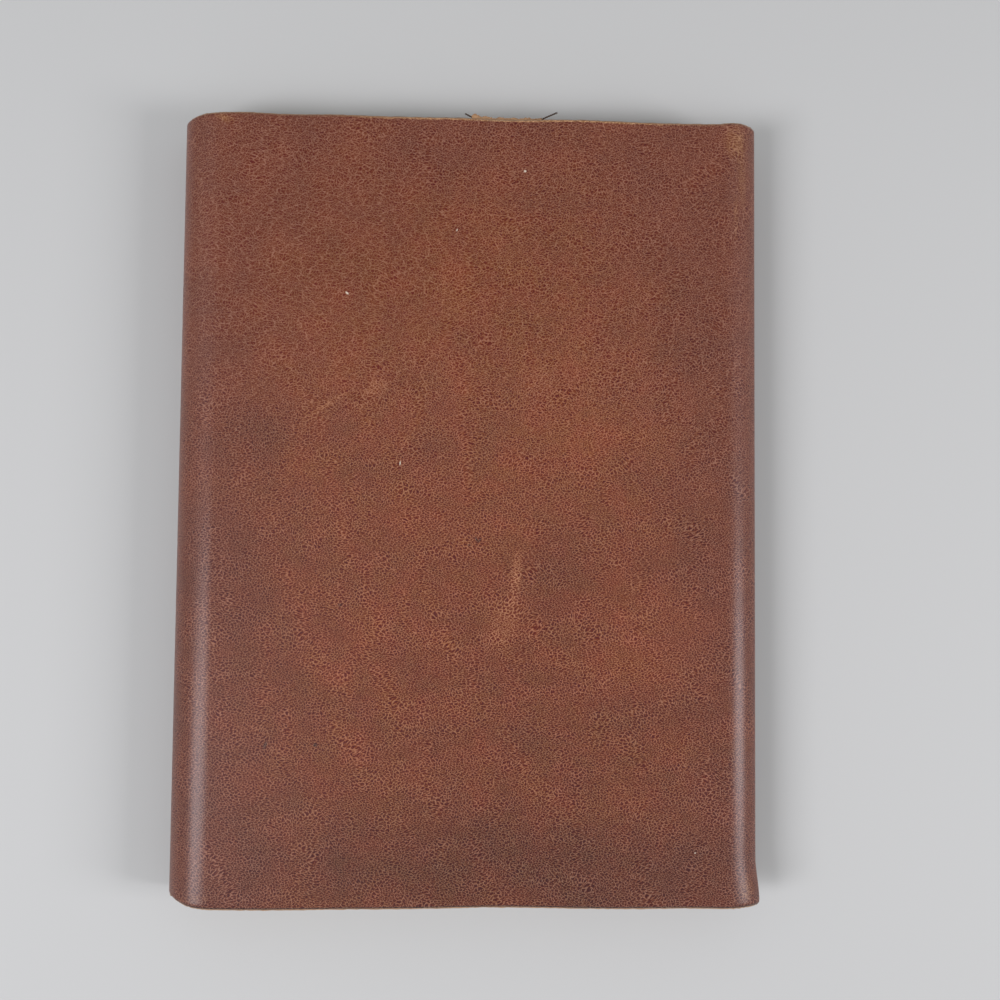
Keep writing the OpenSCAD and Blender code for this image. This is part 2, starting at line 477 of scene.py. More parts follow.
# %% Make the card covers
CARD_CLEAR = 0.1
CARD_SHEET_T = 0.4
CARD_END_X = card_high[0]


def card_path(steps):
    """The hide's line without its fore edge: round the spine and straight across."""
    points = spine_points(36)
    points += straight_points(points[-1][0] + 0.4, CARD_END_X, 0.0, -1.0, steps)
    points.append((CARD_END_X, 0.0, 0.0, -1.0))
    return np.array(points)


the_card_path = card_path(70)
card_u = lengths_along(the_card_path)
card_heights = rows_between(-PAGE_Y, PAGE_Y)
front_card = sheet_mesh("card_front", the_card_path, card_u, card_heights, HIDE_T + CARD_CLEAR,
                        CARD_SHEET_T, front_z, settle=front_settle)
back_card = sheet_mesh("card_back", the_card_path, -card_u, card_heights, HIDE_T + CARD_CLEAR,
                       CARD_SHEET_T, back_z)
print("cards reach to", CARD_END_X, "mm")

# %% [markdown]
# ## The pages
# A sewn book block is a stack of folded sections. Its three cut edges show every sheet as a
# fine line, a little in or out of its neighbours. The block is one closed mesh with a row of
# vertices for each pair of sheets, each row pushed in by its own small amount.

# %% Stack the pages
PAGE_INSET = 0.3
SHEET_T = 0.22
PAGE_STACK_T = 11.0
BACK_R = (page_high[2] - page_low[2]) / 2 - PAGE_INSET
BACK_X = page_low[0] + PAGE_INSET + BACK_R
FLAT_HALF = PAGE_STACK_T / 2 - PAGE_INSET / 2
SWELL_NEAR = BACK_X + 30
SWELL_FAR = BACK_X + 50
page_fore = page_high[0]


def mesh_in_mm(name, verts, faces):
    """A mesh from vertices in millimetres."""
    mesh = bpy.data.meshes.new(name)
    mesh.from_pydata([tuple(c * MM for c in v) for v in verts], [], faces)
    return mesh


def block_half(x):
    """Half the block's thickness at a place across it."""
    ease = np.clip((x - SWELL_NEAR) / (SWELL_FAR - SWELL_NEAR), 0, 1)
    flat = BACK_R + (FLAT_HALF - BACK_R) * ease * ease * (3 - 2 * ease)
    return np.where(x < BACK_X, np.sqrt(np.maximum(BACK_R ** 2 - (BACK_X - x) ** 2, 0)), flat)


def block_mesh():
    """The stack: rings of sheets, from the back cover's side to the front's."""
    layers = int(2 * BACK_R / SHEET_T)
    levels = np.linspace(-1, 1, layers + 1)
    turn_in = 0.10 * random.random(layers + 1)
    sections = 9
    in_section = np.abs(((levels + 1) / 2 * sections) % 1 - 0.5) * 2
    turn_in = turn_in + 0.16 * in_section ** 6
    across = np.concatenate([BACK_X - BACK_R * np.cos(np.linspace(0.12, math.pi / 2, 12)),
                             np.linspace(BACK_X + 2, page_fore, 72)])
    along = np.linspace(-PAGE_Y + PAGE_INSET, PAGE_Y - PAGE_INSET, 60)
    verts, faces = [], []
    ring_size = 2 * len(across) + 2 * (len(along) - 2)
    for level, tuck in zip(levels, turn_in):
        wave = 0.05 * np.sin(along / 17 + level * 5)
        ring = [(x, -PAGE_Y + PAGE_INSET + tuck) for x in across]
        ring += [(page_fore - tuck - w, y) for y, w in zip(along[1:-1], wave[1:-1])]
        ring += [(x, PAGE_Y - PAGE_INSET - tuck) for x in across[::-1]]
        ring += [(across[0], y) for y in along[1:-1][::-1]]
        for x, y in ring:
            half_t = float(block_half(np.array(x)))
            verts.append((x, y, MID_Z + level * half_t))
    count = len(levels)
    for k in range(count - 1):
        for i in range(ring_size):
            a, b = k * ring_size + i, k * ring_size + (i + 1) % ring_size
            faces.append((a, b, b + ring_size, a + ring_size))
    for k, flip in ((0, True), (count - 1, False)):
        base = k * ring_size
        n = len(across)
        m = len(along) - 2
        tail = [base + i for i in range(n)]
        head = [base + n + m + i for i in range(n)][::-1]
        for i in range(n - 1):
            quad = (tail[i], tail[i + 1], head[i + 1], head[i])
            if i == n - 2:
                side = [base + n + j for j in range(m)]
                quad = (tail[i], tail[i + 1], *side, head[i + 1], head[i])
            if i == 0:
                spine = [base + 2 * n + m + j for j in range(m)]
                quad = (tail[0], tail[1], head[1], head[0], *spine)
            faces.append(quad[::-1] if flip else quad)
    mesh = mesh_in_mm("pages", verts, faces)
    edge_faces = (count - 1) * ring_size
    mesh.polygons.foreach_set("material_index", [1] * edge_faces + [0] * (len(faces) - edge_faces))
    return in_scene("pages", mesh)


pages = block_mesh()
print("pages:", len(pages.data.vertices), "vertices, one ring for each", SHEET_T, "mm")

# %% [markdown]
# ## The cloth on the notebook's back
# A strip of bookbinder's cloth is glued round the back of the sections and a little way onto
# the first and last page. It is the same kind of swept sheet, along a half circle.

# %% Wrap the back in cloth
CLOTH_T = 0.3
CLOTH_LAP = cloth_high[0] - (cloth_low[0] + (cloth_high[2] - cloth_low[2]) / 2)


def cloth_path():
    """Lap, half circle round the back, lap: depth runs from the top of the journal."""
    radius = BACK_R + CLOTH_T + 0.02
    lap = np.linspace(BACK_X + CLOTH_LAP, BACK_X, 10, endpoint=False)
    points = [(x, MID_Z - radius, 0.0, -1.0) for x in lap]
    for angle in np.linspace(0, math.pi, 36):
        out = (-math.sin(angle), -math.cos(angle))
        points.append((BACK_X + radius * out[0], MID_Z + radius * out[1], *out))
    points += [(x, MID_Z + radius, 0.0, 1.0) for x in np.linspace(BACK_X, BACK_X + CLOTH_LAP, 11)[1:]]
    return np.array(points)[::-1]


the_cloth_path = cloth_path()
cloth = sheet_mesh("back_cloth", the_cloth_path, lengths_along(the_cloth_path), card_heights, 0.0, CLOTH_T,
                   front_z)
print("cloth strip", round(lengths_along(the_cloth_path)[-1], 1), "mm round the back")

# %% [markdown]
# ## The raw tab
# A short strip of undyed leather is glued under the front panel at the head. It was cut with
# scissors: its edge is pale and fibrous, and at its left end a tuft of fibres stands up. The
# strip is a fine grid whose outer edge is pulled about by small random amounts.

# %% Cut the tab
TAB_STEPS = 60
TAB_T = 1.4
TAB_HOLD = 8.0
FRAY = 0.55


def tab_mesh():
    """The strip's section in Y and Z, swept along X with a ragged outer edge."""
    left, right = tab_low[0], tab_high[0]
    inner_y, outer_y = tab_low[1], tab_high[1] + FRAY
    low_z, high_z = tab_low[2], tab_high[2]
    step_y = inner_y + TAB_HOLD
    drop = POCKET_T
    foot_z = low_z + drop
    section = [(inner_y, low_z + 0.05), (step_y - 1.5, low_z + 0.02), (step_y + drop, low_z),
               (step_y + 2 * drop, foot_z), (outer_y - 1.6, foot_z), (outer_y - 0.5, foot_z),
               (outer_y, foot_z + 0.35), (outer_y + 0.02, foot_z + 0.8), (outer_y - 0.1, high_z - 0.3),
               (outer_y - 1.0, high_z - 0.02), (step_y + 0.6, high_z - 0.02), (step_y, high_z - 0.05),
               (step_y, high_z - drop), (inner_y, low_z + TAB_T - 0.05)]
    ragged = [0, 0, 0, 0, 0.2, 0.7, 1, 1, 1, 0.3, 0, 0, 0, 0]
    verts, faces = [], []
    for x in np.linspace(left, right, TAB_STEPS + 1):
        tuft = 0.65 * bump(x, left + 0.8, 1.2) + 0.4 * bump(x, left + 3.0, 1.6)
        sway = 0.16 * np.sin(x * 1.7) + 0.1 * random.standard_normal()
        side = 0.25 * random.standard_normal()
        for (y, z), share in zip(section, ragged):
            shift = share * (tuft + sway)
            verts.append((x + 0.1 * share * side, y + shift, z + share * (0.25 * tuft + 0.06 * sway)))
    n = len(section)
    for i in range(TAB_STEPS):
        for k in range(n):
            a, b = i * n + k, i * n + (k + 1) % n
            faces.append((a, a + n, b + n, b))
    faces.append(tuple(range(n)))
    faces.append(tuple(TAB_STEPS * n + k for k in range(n))[::-1])
    mesh = mesh_in_mm("raw_tab", verts, faces)
    mesh.shade_smooth()
    return in_scene("raw_tab", mesh)


tab = tab_mesh()
print("tab", round(tab_high[0] - tab_low[0], 1), "mm wide")

# %% [markdown]
# ## Thread ends
# The tab was sewn with a dark waxed thread of two plies. Its cut ends stick out past the
# edge. Each end is two thin strands twisted round one line and frayed at the tip.

# %% Twist the thread ends
PLY_R = 0.13
TWIST_PITCH = 1.1


def tube(points, radii, sides=8):
    """Vertices and faces of a closed tube along points, with a radius at each."""
    points = np.array(points, float)
    verts, faces = [], []
    tangent = np.gradient(points, axis=0)
    for place, way, radius in zip(points, tangent, radii):
        way = way / np.linalg.norm(way)
        aside = np.cross(way, (0, 0, 1.0))
        aside /= np.linalg.norm(aside)
        up = np.cross(aside, way)
        for k in range(sides):
            angle = 2 * math.pi * k / sides
            verts.append(place + radius * (math.cos(angle) * aside + math.sin(angle) * up))
    for i in range(len(points) - 1):
        for k in range(sides):
            a, b = i * sides + k, i * sides + (k + 1) % sides
            faces.append((a, b, b + sides, a + sides))
    faces.append(tuple(range(sides))[::-1])
    faces.append(tuple((len(points) - 1) * sides + k for k in range(sides)))
    return verts, faces


def thread_end(name, start, end, sag):
    """A two-ply thread from start to end, both in millimetres."""
    start, end = np.array(start, float), np.array(end, float)
    steps = 40
    share = np.linspace(0, 1, steps + 1)
    middle = start + (end - start) * share[:, None]
    middle[:, 2] -= sag * np.sin(math.pi * share)
    length = np.linalg.norm(end - start)
    way = (end - start) / length
    aside = np.cross(way, (0, 0, 1.0))
    aside /= np.linalg.norm(aside)
    up = np.cross(aside, way)
    verts, faces = [], []
    for ply in (0, math.pi):
        angle = ply + 2 * math.pi * share * length / TWIST_PITCH
        spread = PLY_R * (1 + 1.2 * np.clip((share - 0.85) / 0.15, 0, 1))
        line = middle + spread[:, None] * (np.cos(angle)[:, None] * aside + np.sin(angle)[:, None] * up)
        radii = PLY_R * (1 - 0.65 * np.clip((share - 0.8) / 0.2, 0, 1) ** 2)
        more, quads = tube(line, radii)
        faces += [tuple(v + len(verts) for v in quad) for quad in quads]
        verts += more
    mesh = mesh_in_mm(name, verts, faces)
    mesh.shade_smooth()
    return in_scene(name, mesh)


THREAD_Z = tab_high[2] - 0.7
left_tip, right_tip = node_box("tab_thread_left"), node_box("tab_thread_right")
thread_left = thread_end("thread_end_left", (tab_low[0] + 1.0, tab_high[1] + 0.15, THREAD_Z),
                         (left_tip[0][0], left_tip[1][1] - 0.1, left_tip[1][2] - 0.2), 0.05)
thread_right = thread_end("thread_end_right", (tab_high[0] - 0.4, tab_high[1] + 0.15, THREAD_Z),
                          (right_tip[1][0], right_tip[1][1] - 0.1, right_tip[1][2] - 0.2), -0.12)
print("threads end at", np.round(left_tip[0], 1), np.round(right_tip[1], 1))

# %% [markdown]
# ## Pull-up leather, grain side
# The hide is vegetable-tanned and waxed. Its dye is warm and orange in the middle and darker,
# towards plum, near the edges. The grain is a net of pale ridges about a millimetre apart round
# dark pores, and it flows slantwise in places; the ridges' paleness is partly a painted glint
# and the pores' darkness partly painted shade. Where the leather has been rubbed or scratched
# the wax has moved and the colour is lighter.

# %% Set the grain's sizes and find a place on the hide
GRAIN_MM = 0.74
FINE_MM = 0.38
SWELL_MM = 1.5
FLOW_MM = 14.0
FLOW_BEND_MM = 6.0
MOTTLE_MM = 48.0
CLOUD_MM = 13.0
RUDDY_MM = 8.0
RAG_MM = 1.3
NIBBLE_MM = 2.2
CREASE_MM = (4.2, 1.3)
PEBBLE_LEAN = math.radians(35)
PEBBLE_STRETCH = (0.72, 1.15, 1.0)
CREASE_LEAN = math.radians(12)
RIDGE_SHARE, PORE_SHARE, SWELL_SHARE = 0.55, 2.0, 0.25
RELIEF_RANGE = (0.965, 1.765)
TONE_LIMIT = 2.4


def hide_map(tree):
    """Place on the hide in millimetres: x across the front panel from its middle, y up it."""
    found = put(tree, "ShaderNodeUVMap", uv_map="hide_mm")
    return put(tree, "ShaderNodeVectorMath", {0: found, 1: (spine_to_middle, 0, 0)},
               operation="SUBTRACT")


def panel_map(tree):
    """The same for the panel that the place is on: the back panel mirrors the front one."""
    found = put(tree, "ShaderNodeUVMap", uv_map="hide_mm")
    mirrored = put(tree, "ShaderNodeVectorMath", {0: found}, operation="ABSOLUTE")
    across = put(tree, "ShaderNodeSeparateXYZ", {0: mirrored})
    up = put(tree, "ShaderNodeSeparateXYZ", {0: found}).outputs[1]
    across = put(tree, "ShaderNodeMath", {0: across, 1: spine_to_middle}, operation="SUBTRACT")
    return put(tree, "ShaderNodeCombineXYZ", {0: across, 1: up})


def spots(tree, place, marks):
    """A pattern of soft ovals on the hide, added up. A mark is its middle, its half length and
    half width in millimetres, its angle in degrees and its strength."""
    total = 0.0
    for x, y, long, wide, angle, strength in marks:
        moved = put(tree, "ShaderNodeVectorMath", {0: place, 1: (x, y, 0)}, operation="SUBTRACT")
        turned = put(tree, "ShaderNodeVectorRotate", {"Vector": moved, "Angle": -math.radians(angle)},
                     rotation_type="Z_AXIS")
        scaled = put(tree, "ShaderNodeVectorMath", {0: turned, 1: (1 / long, 1 / wide, 0)},
                     operation="MULTIPLY")
        away = put(tree, "ShaderNodeVectorMath", {0: scaled}, operation="LENGTH").outputs["Value"]
        inside = put(tree, "ShaderNodeMapRange", {"Value": away, "From Min": 1.0, "From Max": 0.15},
                     interpolation_type="SMOOTHSTEP")
        total = put(tree, "ShaderNodeMath", {0: inside, 1: strength, 2: total},
                    operation="MULTIPLY_ADD")
    return total


print("grain of", GRAIN_MM, "mm, pores of", FINE_MM, "mm, mottle of", MOTTLE_MM, "mm")

# %% [markdown]
# ## Wear on the front panel
# A used journal has a history, and it's drawn one by one: warmer, lighter patches, a pale
# rubbed streak below the middle, a fine scratch above it on the left, and a few tiny
# nicks and pits. Each line gives a place on the panel, a length, a width and an angle.

# %% List the marks
WARM_PATCHES = [(2, -12, 90, 66, 80, 0.12), (-28, -36, 34, 24, 20, 0.20), (52, -36, 30, 24, 0, 0.40),
                (-6, 60, 34, 14, 10, 0.14), (40, 30, 22, 24, 0, 0.16), (-44, 44, 22, 14, 40, 0.16)]
DARK_PATCHES = [(10, -100, 90, 26, 0, -0.55), (-58, 20, 14, 20, 0, -0.18), (62, 52, 16, 34, 0, -0.12),
                (24, -68, 34, 16, -14, -0.18), (-5, 62, 78, 34, 0, -0.15), (28, -16, 13, 16, 0, -0.20),
                (-18, 12, 20, 9, 20, -0.16)]
SMOOTH_PATCHES = [(-50, 70, 80, 60, 0, 1.0)]
RUBBED = [(13.6, -19.0, 9.5, 2.5, 85, 0.9), (10.2, -32.5, 12, 6.2, 66, 0.6), (-26, 33, 5.5, 3.4, 30, 0.55),
          (-39, 28.5, 9.5, 1.0, 33, 0.5), (-7.5, 59, 9.5, 0.5, 89, 0.35), (20, 36, 8, 6, 0, 0.25)]
WORN_EDGES = [(75.5, 105, 5, 6.5, 0, 0.9), (77.5, 96, 14, 2.2, 92, 0.55), (75.6, 84, 10, 1.2, 90, 0.45),
              (-69.5, 108.5, 4, 1.6, -20, 0.9), (78.5, -105, 5, 3, 80, 0.8), (-74, -108, 7, 2, 10, 0.35)]
NICKS = [(15.3, 95.4, 0.55, 0.45, 0, 1), (-34.4, 59.7, 0.8, 0.4, -40, 0.9), (-3.8, 78.1, 0.6, 0.3, 60, 0.6),
         (-18.9, 12.0, 0.9, 0.25, 85, 0.9), (63.9, -95.0, 0.4, 0.3, 0, 0.7)]
PITS = [(2.6, -9.0, 1.3, 0.45, -60, 0.9), (3.5, -9.2, 1.1, 0.45, 60, 0.9), (-54.8, -66.0, 1.7, 0.7, 70, 0.9),
        (-41.1, -65.9, 0.9, 0.8, 0, 0.9), (-34.9, -27.5, 1.0, 0.7, 20, 0.6), (0.6, -10.6, 0.8, 0.5, 0, 0.6)]
CORE_LENGTH = [(14, COVER_Y, 62, 400, 0, 1.0)]
print(len(WARM_PATCHES) + len(DARK_PATCHES), "patches,", len(RUBBED), "rubbed places,",
      len(NICKS) + len(PITS), "nicks and pits")

# %% [markdown]
# ## The grain's relief
# The relief is two patterns laid over each other, bent by a slow flow: cells with raised edges,
# and finer pores. Where the hide was stretched, long fine creases run across it. The grain
# shows more in the lower half of the cover than at its upper left, and its painted glint and
# pore shade are stronger there too.

# %% Draw the relief
def pebbles(tree, bent):
    """The pattern of the grain, as a height: cells with raised edges, fine pores, low swells."""
    slanted = put(tree, "ShaderNodeMapping", {"Vector": bent, "Rotation": (0, 0, PEBBLE_LEAN),
                                              "Scale": PEBBLE_STRETCH})
    net = put(tree, "ShaderNodeTexVoronoi", {"Vector": slanted, "Scale": 1 / GRAIN_MM, "Randomness": 1.0},
              voronoi_dimensions="2D", feature="DISTANCE_TO_EDGE").outputs["Distance"]
    ridge = put(tree, "ShaderNodeMapRange", {"Value": net, "From Min": 0.22, "From Max": 0.0})
    pores = put(tree, "ShaderNodeTexNoise", {"Vector": bent, "Scale": 1 / FINE_MM, "Detail": 2.0,
                                             "Roughness": 0.95}, noise_dimensions="2D")
    swells = put(tree, "ShaderNodeTexNoise", {"Vector": slanted, "Scale": 1 / SWELL_MM, "Detail": 2.0,
                                              "Roughness": 0.6}, noise_dimensions="2D")
    relief = put(tree, "ShaderNodeMath", {0: ridge, 1: RIDGE_SHARE}, operation="MULTIPLY")
    relief = put(tree, "ShaderNodeMath", {0: pores, 1: PORE_SHARE, 2: relief}, operation="MULTIPLY_ADD")
    return put(tree, "ShaderNodeMath", {0: swells, 1: SWELL_SHARE, 2: relief}, operation="MULTIPLY_ADD")


def creases(tree, bent, up):
    """A pattern of long fine creases, clearer towards the head."""
    drawn = put(tree, "ShaderNodeMapping", {"Vector": bent, "Rotation": (0, 0, CREASE_LEAN),
                                            "Scale": (1 / CREASE_MM[0], 1 / CREASE_MM[1], 1)})
    net = put(tree, "ShaderNodeTexVoronoi", {"Vector": drawn, "Scale": 1.0}, voronoi_dimensions="2D",
              feature="DISTANCE_TO_EDGE").outputs["Distance"]
    line = put(tree, "ShaderNodeMapRange", {"Value": net, "From Min": 0.12, "From Max": 0.0})
    clear = put(tree, "ShaderNodeMapRange", {"Value": up, "From Min": -30.0, "From Max": 40.0, "To Min": 0.15,
                                             "To Max": 1.4})
    return put(tree, "ShaderNodeMath", {0: line, 1: clear}, operation="MULTIPLY")


print("creases of", CREASE_MM, "mm")

# %% [markdown]
# ## The dye
# The dye is warm in the middle of each panel and plum towards the edges, and mottled in
# between. The patches make it lighter or darker, and the marks take it off or deepen it. At
# the head the worn cut edge shows the tan core of the hide; along the tail edge a thin dark
# line is painted shade, where the edge turns down away from the light.

# %% Mix the dye
MIDDLE_SIZE = (1 / 92.0, 1 / 165.0, 0)
MIDDLE_SHIFT = (0, 0.18, 0)
MOTTLE_SHARE, EDGE_SHARE = 0.9, 0.85
CLOUD_DEPTH = 0.16
RUDDY_DYE, GOLDEN_DYE, PLUM_DYE = rgb("#814221"), rgb("#7e451f"), rgb("#733d26")
RUBBED_DYE, WORN_DYE, PIT_DYE = rgb("#a56b49"), rgb("#9a6a3e"), rgb("#4a2013")
# The second colour below is painted shade: a thin dark line along the tail edge, where it turns down away
# from the light.
CORE_TAN, TAIL_EDGE_SHADE, BARE_SPECK = rgb("#b58459"), rgb("#3f211a"), rgb("#d9c9b4")


def mottled_dye(tree, place, panel, cloud):
    """The dye before any wear."""
    mottle = put(tree, "ShaderNodeTexNoise", {"Vector": place, "Scale": 1 / MOTTLE_MM, "Detail": 4.0,
                                              "Roughness": 0.55, "Distortion": 0.4},
                 noise_dimensions="2D")
    oval = put(tree, "ShaderNodeVectorMath", {0: panel, 1: MIDDLE_SIZE, 2: MIDDLE_SHIFT},
               operation="MULTIPLY_ADD")
    out = put(tree, "ShaderNodeVectorMath", {0: oval}, operation="LENGTH").outputs["Value"]
    edge = put(tree, "ShaderNodeMapRange", {"Value": out, "From Min": 0.45, "From Max": 1.05},
               interpolation_type="SMOOTHSTEP")
    plum = put(tree, "ShaderNodeMath", {0: mottle, 1: MOTTLE_SHARE}, operation="MULTIPLY")
    plum = put(tree, "ShaderNodeMath", {0: edge, 1: EDGE_SHARE, 2: plum}, operation="MULTIPLY_ADD")
    plum = put(tree, "ShaderNodeMapRange", {"Value": plum, "From Min": 0.35, "From Max": 1.15})
    ruddy = put(tree, "ShaderNodeTexNoise", {"Vector": place, "Scale": 1 / RUDDY_MM, "Detail": 2.0},
                noise_dimensions="2D")
    ruddy = put(tree, "ShaderNodeMapRange", {"Value": ruddy, "From Min": 0.35, "From Max": 0.65})
    warm = put(tree, "ShaderNodeMix", {0: ruddy, 6: GOLDEN_DYE, 7: RUDDY_DYE}, data_type="RGBA").outputs[2]
    dye = put(tree, "ShaderNodeMix", {0: plum, 6: warm, 7: PLUM_DYE}, data_type="RGBA").outputs[2]
    patch = spots(tree, place, WARM_PATCHES + DARK_PATCHES)
    clouded = put(tree, "ShaderNodeMapRange", {"Value": cloud, "From Min": 0.3, "From Max": 0.7,
                                               "To Min": -CLOUD_DEPTH, "To Max": CLOUD_DEPTH})
    patch = put(tree, "ShaderNodeMath", {0: patch, 1: clouded}, operation="ADD")
    level = put(tree, "ShaderNodeMapRange", {"Value": patch, "From Min": -1.0, "From Max": 1.0, "To Min": 0.5,
                                             "To Max": 1.5})
    return put(tree, "ShaderNodeVectorMath", {0: dye, "Scale": level}, operation="SCALE")


def worn_dye(tree, place, dye):
    """The dye with its marks, and how much of the surface is rubbed."""
    rag = put(tree, "ShaderNodeTexNoise", {"Vector": place, "Scale": 1 / RAG_MM, "Detail": 4.0,
                                           "Roughness": 0.7}, noise_dimensions="2D")
    rag = put(tree, "ShaderNodeMapRange", {"Value": rag, "From Min": 0.38, "From Max": 0.62, "To Min": 0.5,
                                           "To Max": 1.0})
    rubbed = spots(tree, place, RUBBED)
    rubbed = put(tree, "ShaderNodeMath", {0: rubbed, 1: rag}, operation="MULTIPLY")
    share = put(tree, "ShaderNodeMapRange", {"Value": rubbed, "To Max": 0.85})
    dye = put(tree, "ShaderNodeMix", {0: share, 6: dye, 7: RUBBED_DYE}, data_type="RGBA").outputs[2]
    worn = spots(tree, place, WORN_EDGES)
    worn = put(tree, "ShaderNodeMath", {0: worn, 1: rag}, operation="MULTIPLY")
    share = put(tree, "ShaderNodeMapRange", {"Value": worn, "To Max": 0.55})
    dye = put(tree, "ShaderNodeMix", {0: share, 6: dye, 7: WORN_DYE}, data_type="RGBA").outputs[2]
    pitted = spots(tree, place, PITS)
    dye = put(tree, "ShaderNodeMix", {0: pitted, 6: dye, 7: PIT_DYE}, data_type="RGBA").outputs[2]
    return dye, rubbed


def cut_end_dye_and_shade(tree, place, up, dye):
    """The tan core at the head edge, and a thin dark line of painted shade along the tail edge."""
    nibbled = put(tree, "ShaderNodeTexNoise", {"Vector": place, "Scale": 1 / NIBBLE_MM, "Detail": 3.0,
                                               "Roughness": 0.6}, noise_dimensions="2D")
    nibbled = put(tree, "ShaderNodeMapRange", {"Value": nibbled, "From Min": 0.3, "From Max": 0.7,
                                               "To Max": 0.35})
    reach = put(tree, "ShaderNodeMath", {0: up, 1: nibbled}, operation="ADD")
    core = put(tree, "ShaderNodeMapRange", {"Value": reach, "From Min": COVER_Y - 0.4,
                                            "From Max": COVER_Y - 0.1})
    middle = spots(tree, place, CORE_LENGTH)
    thin = put(tree, "ShaderNodeMapRange", {"Value": middle, "From Max": 0.6, "To Min": 0.15})
    core = put(tree, "ShaderNodeMath", {0: core, 1: thin}, operation="MULTIPLY")
    dye = put(tree, "ShaderNodeMix", {0: core, 6: dye, 7: CORE_TAN}, data_type="RGBA").outputs[2]
    # Painted shade: a thin dark line along the tail edge, where the edge turns down away from the light.
    tail_edge_shade = put(tree, "ShaderNodeMapRange", {"Value": up, "From Min": -COVER_Y + 0.6,
                                                 "From Max": -COVER_Y + 0.2, "To Max": 0.85})
    return put(tree, "ShaderNodeMix", {0: tail_edge_shade, 6: dye, 7: TAIL_EDGE_SHADE}, data_type="RGBA").outputs[2]


print("the dye is drawn on a hide", round(2 * front_u[-1]), "mm wide")

# %% [markdown]
# ## The grain side's shader
# The relief also tints the dye: the pores are dark and rich, partly because wax and dye gather
# in them and partly as painted shade, and the ridges are lighter and a little grey, a painted
# glint. The wax itself is a thin smooth coat on top, and the leather under it has a wider,
# duller sheen.

# %% Finish the grain side
# Painted glint: the grey below is added on the grain's ridges where light would catch them; the depth after
# it darkens the pores partly as dye and partly as painted shade.
PAINTED_GLINT_GREY = (0.014, 0.025, 0.023)
DARKEST = rgb("#170a07")[:3]
GRAIN_TONE_AND_SHADE_DEPTH = 0.226


